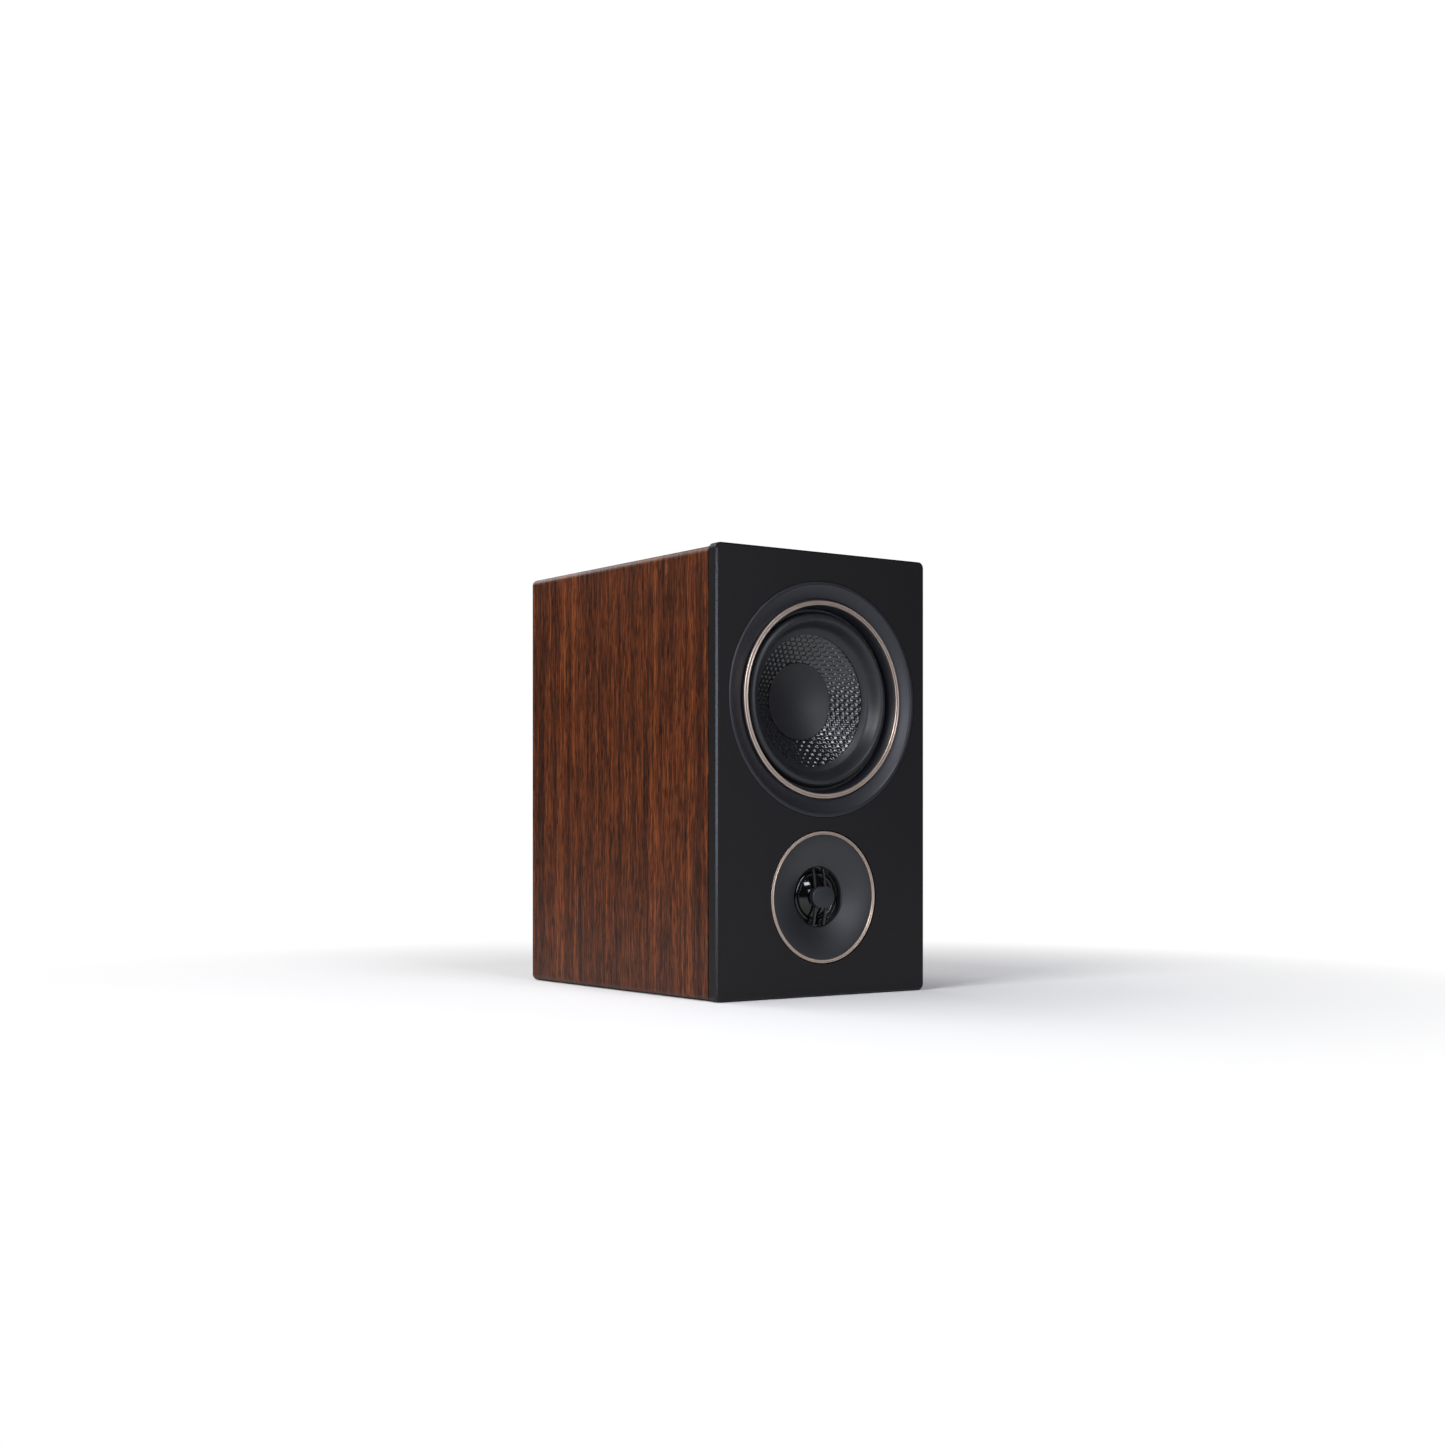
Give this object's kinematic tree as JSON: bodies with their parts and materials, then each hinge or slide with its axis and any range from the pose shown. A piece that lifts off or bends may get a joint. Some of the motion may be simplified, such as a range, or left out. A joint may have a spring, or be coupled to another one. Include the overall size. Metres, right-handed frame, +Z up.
{
  "type": "bookshelf speaker",
  "caption": "Small two-way bass-reflex loudspeaker: woven-cone woofer above a dome tweeter in a walnut-look box, with rear port and screw terminals.",
  "frame": {"origin": "centre of the underside, half way between the baffle's face and the cabinet's rear edge", "axes": "+Z up, the front with the drivers faces -Y, +X is to the viewer's right when looking at the front"},
  "size_m": [0.126, 0.1813, 0.211],
  "materials": {
    "black_satin": "black satin film over fibreboard, fine leather-like grain too small to feel",
    "black_foam": "closed-cell foam",
    "walnut_laminate": "dark walnut-grain vinyl film, satin",
    "fibreboard": "raw medium-density fibreboard",
    "black_laminate": "black vinyl film over fibreboard",
    "slate_plastic": "moulded, satin, slate grey",
    "champagne_metal": "turned and anodised, champagne, fine lathe lines",
    "pressed_steel": "black powder coat on pressed steel",
    "black_screw": "black zinc",
    "black_rubber": "moulded butyl rubber, satin",
    "woven_cone": "coated weave, small raised squares",
    "dust_cap": "soft-touch coated, matte",
    "coil_former": "polyimide film",
    "copper_winding": "enamelled copper wire, wound",
    "spider_cloth": "phenolic-dipped cotton",
    "plated_steel": "zinc plated",
    "ferrite": "sintered ferrite",
    "phenolic": "phenolic paper board",
    "tinsel_braid": "braided copper tinsel",
    "tweeter_plastic": "moulded, fine satin",
    "dome_film": "glossy coated dome",
    "black_plastic": "moulded, satin",
    "gold_metal": "gold-plated brass",
    "red_plastic": "moulded red band",
    "circuit_board": "glass-fibre board",
    "white_nylon": "moulded nylon",
    "capacitor_film": "film capacitor wrap",
    "ceramic": "cement-filled ceramic case",
    "lead_insulation": "soft vinyl insulation",
    "wadding": "polyester wadding"
  },
  "bodies": {
    "root": {"front_baffle": "black_satin", "baffle_gasket": "black_foam", "walnut_wrap": "walnut_laminate", "left_panel": "fibreboard", "right_panel": "fibreboard", "top_panel": "fibreboard", "bottom_panel": "fibreboard", "back_panel": "black_laminate", "woofer_bezel": "slate_plastic", "woofer_accent_ring": "champagne_metal", "woofer_basket": "pressed_steel", "woofer_gasket": "black_foam", "woofer_screws": "black_screw", "woofer_surround": "black_rubber", "woofer_spider": "spider_cloth", "woofer_top_plate": "plated_steel", "woofer_magnet": "ferrite", "woofer_yoke": "plated_steel", "woofer_terminals": "phenolic", "woofer_tinsel_leads": "tinsel_braid", "tweeter_faceplate": "tweeter_plastic", "tweeter_accent_ring": "champagne_metal", "tweeter_bridge": "tweeter_plastic", "tweeter_badge": "slate_plastic", "tweeter_surround": "black_rubber", "tweeter_pole_plate": "plated_steel", "tweeter_magnet": "plated_steel", "tweeter_cup": "plated_steel", "tweeter_rear_cap": "black_plastic", "tweeter_terminals": "gold_metal", "tweeter_screws": "plated_steel", "port_tube": "black_plastic", "terminal_cup": "black_plastic", "rear_screws": "black_screw", "red_post": "gold_metal", "black_post": "gold_metal", "post_washers": "plated_steel", "solder_tags": "gold_metal", "post_nuts": "gold_metal", "keyhole_plate": "plated_steel", "crossover_board": "circuit_board", "crossover_standoffs": "white_nylon", "woofer_choke": "copper_winding", "tweeter_choke": "copper_winding", "crossover_capacitors": "capacitor_film", "crossover_resistors": "ceramic", "woofer_leads": "lead_insulation", "tweeter_leads": "lead_insulation", "input_leads": "lead_insulation", "damping_pads": "wadding"},
    "cone": {"woofer_cone": "woven_cone", "woofer_dust_cap": "dust_cap", "woofer_coil_former": "coil_former", "woofer_voice_coil": "copper_winding"},
    "dome": {"tweeter_dome": "dome_film", "tweeter_voice_coil": "copper_winding"},
    "red_band": {"red_ring": "red_plastic"},
    "red_cap": {"red_knob": "gold_metal"},
    "black_band": {"black_ring": "black_plastic"},
    "black_cap": {"black_knob": "gold_metal"}
  },
  "joints": [
    {"name": "woofer_travel", "type": "slide", "parent": "root", "child": "cone", "axis": [0, -1, 0], "range_m": [-0.003, 0.003], "stiffness_N_per_m": 1000, "deforming": ["woofer_surround", "woofer_spider", "woofer_tinsel_leads"]},
    {"name": "tweeter_travel", "type": "slide", "parent": "root", "child": "dome", "axis": [0, -1, 0], "range_m": [-0.00025, 0.00025], "stiffness_N_per_m": 500, "deforming": ["tweeter_surround"]},
    {"name": "red_band_slide", "type": "slide", "parent": "root", "child": "red_band", "axis": [0, 1, 0], "range_m": [0, 0.005]},
    {"name": "red_knob_turn", "type": "hinge", "parent": "red_band", "child": "red_cap", "pos_m": [0.0095, 0.072, 0.058], "axis": [0, 1, 0], "range_deg": [0, 1800]},
    {"name": "black_band_slide", "type": "slide", "parent": "root", "child": "black_band", "axis": [0, 1, 0], "range_m": [0, 0.005]},
    {"name": "black_knob_turn", "type": "hinge", "parent": "black_band", "child": "black_cap", "pos_m": [-0.0095, 0.072, 0.058], "axis": [0, 1, 0], "range_deg": [0, 1800]}
  ],
  "couplings": [
    {"joint": "red_knob_turn", "follows": "red_band_slide", "rad_per_m": 6283.2},
    {"joint": "black_knob_turn", "follows": "black_band_slide", "rad_per_m": 6283.2}
  ]
}
